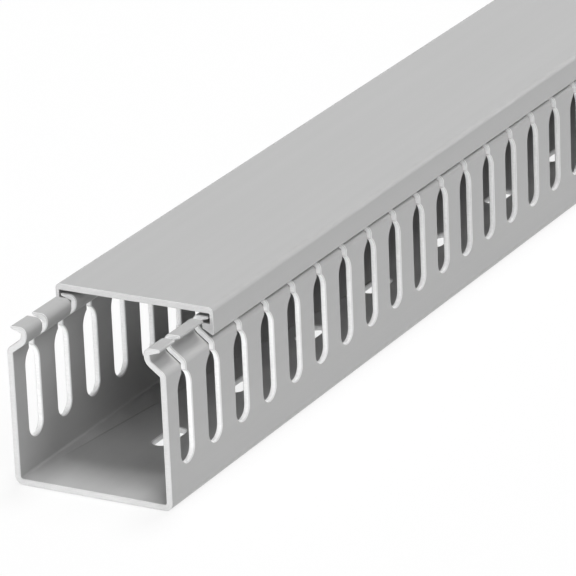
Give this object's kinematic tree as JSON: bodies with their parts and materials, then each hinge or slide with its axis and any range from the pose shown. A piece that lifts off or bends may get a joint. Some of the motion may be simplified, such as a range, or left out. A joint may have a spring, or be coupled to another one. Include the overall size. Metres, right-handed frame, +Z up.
{
  "type": "slotted wire duct",
  "caption": "Slotted wiring duct: an extruded channel with slotted side walls, hooked finger heads and fixing holes in its base, and a clip-on cover that slides.",
  "frame": {"origin": "middle of the underside of the duct body's base, halfway along its length", "axes": "+X across the duct to the right as seen from its front end, +Y along the duct from the front end to the rear end, +Z up from the base to the cover"},
  "size_m": [0.04, 1.0215, 0.04],
  "materials": {
    "duct_pvc": "rigid grey PVC, smooth satin extrusion",
    "cover_pvc": "rigid grey PVC, smooth satin extrusion"
  },
  "bodies": {
    "duct": {"duct_body": "duct_pvc"},
    "cover": {"cover": "cover_pvc"}
  },
  "joints": [
    {"name": "cover_slide", "type": "slide", "parent": "duct", "child": "cover", "axis": [0, 1, 0], "range_m": [-0.0215, 0.9]}
  ]
}
